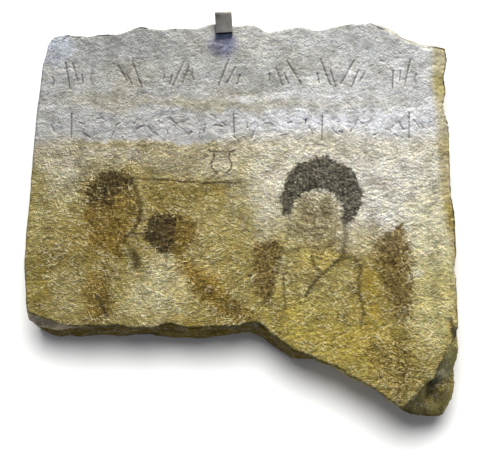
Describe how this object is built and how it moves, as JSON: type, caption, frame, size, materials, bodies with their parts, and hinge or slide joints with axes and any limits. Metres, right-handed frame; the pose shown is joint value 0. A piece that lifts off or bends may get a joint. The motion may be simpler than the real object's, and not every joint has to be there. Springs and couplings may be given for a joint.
{
  "type": "carved stone stele fragment",
  "caption": "Broken slab of a carved and painted stone stele: a flat dressed face with rows of shallow chisel strokes, rough broken edges, and a bent steel clip gripping its upper edge.",
  "frame": {"origin": "centre of the bounding box's underside: on the plane of the stone's flat back, below the middle of the slab and its clip", "axes": "+X across the carved face towards its right side, +Y up the carved face towards its broken top, +Z out of the carved face, which looks up as the slab lies on its back"},
  "size_m": [0.3984, 0.3828, 0.0743],
  "materials": {
    "stone": "chisel-dressed, worn and stained",
    "clip": "dull brushed"
  },
  "bodies": {
    "root": {"stone": "stone", "clip": "clip"}
  },
  "joints": []
}
